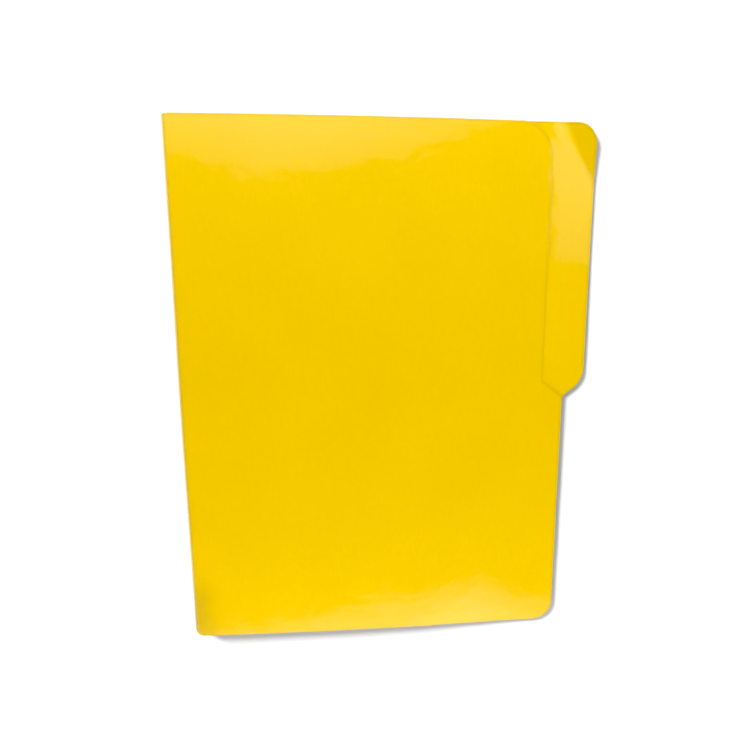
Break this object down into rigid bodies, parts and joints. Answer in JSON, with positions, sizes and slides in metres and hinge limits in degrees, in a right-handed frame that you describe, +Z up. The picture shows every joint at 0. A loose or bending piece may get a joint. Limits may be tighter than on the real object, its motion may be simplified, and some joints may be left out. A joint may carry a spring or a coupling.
{
  "type": "file folder",
  "caption": "Closed card file folder with a rounded scored fold, a half-cut tab on the back leaf and an undercut front leaf that opens flat.",
  "frame": {"origin": "on the table, under the middle of the closed folder's bounding box", "axes": "+X from the fold to the tab, +Y up the page, +Z up from the table through the leaves"},
  "size_m": [0.2356, 0.2984, 0.0061],
  "materials": {
    "coated_card": "glossy coated card, yellow"
  },
  "bodies": {
    "back_leaf": {"back_leaf": "coated_card"},
    "spine_strip_1": {"spine_strip_1": "coated_card"},
    "spine_strip_2": {"spine_strip_2": "coated_card"},
    "spine_strip_3": {"spine_strip_3": "coated_card"},
    "front_leaf": {"front_leaf": "coated_card"}
  },
  "joints": [
    {"name": "fold_score_1", "type": "hinge", "parent": "back_leaf", "child": "spine_strip_1", "pos_m": [-0.116, 0, 0.00015], "axis": [0, -1, 0], "range_deg": [0, 45]},
    {"name": "fold_score_2", "type": "hinge", "parent": "spine_strip_1", "child": "spine_strip_2", "pos_m": [-0.1177, 0, 0.00185], "axis": [0, -1, 0], "range_deg": [0, 45]},
    {"name": "fold_score_3", "type": "hinge", "parent": "spine_strip_2", "child": "spine_strip_3", "pos_m": [-0.1177, 0, 0.00425], "axis": [0, -1, 0], "range_deg": [0, 45]},
    {"name": "fold_score_4", "type": "hinge", "parent": "spine_strip_3", "child": "front_leaf", "pos_m": [-0.116, 0, 0.00594], "axis": [0, -1, 0], "range_deg": [0, 45]}
  ]
}
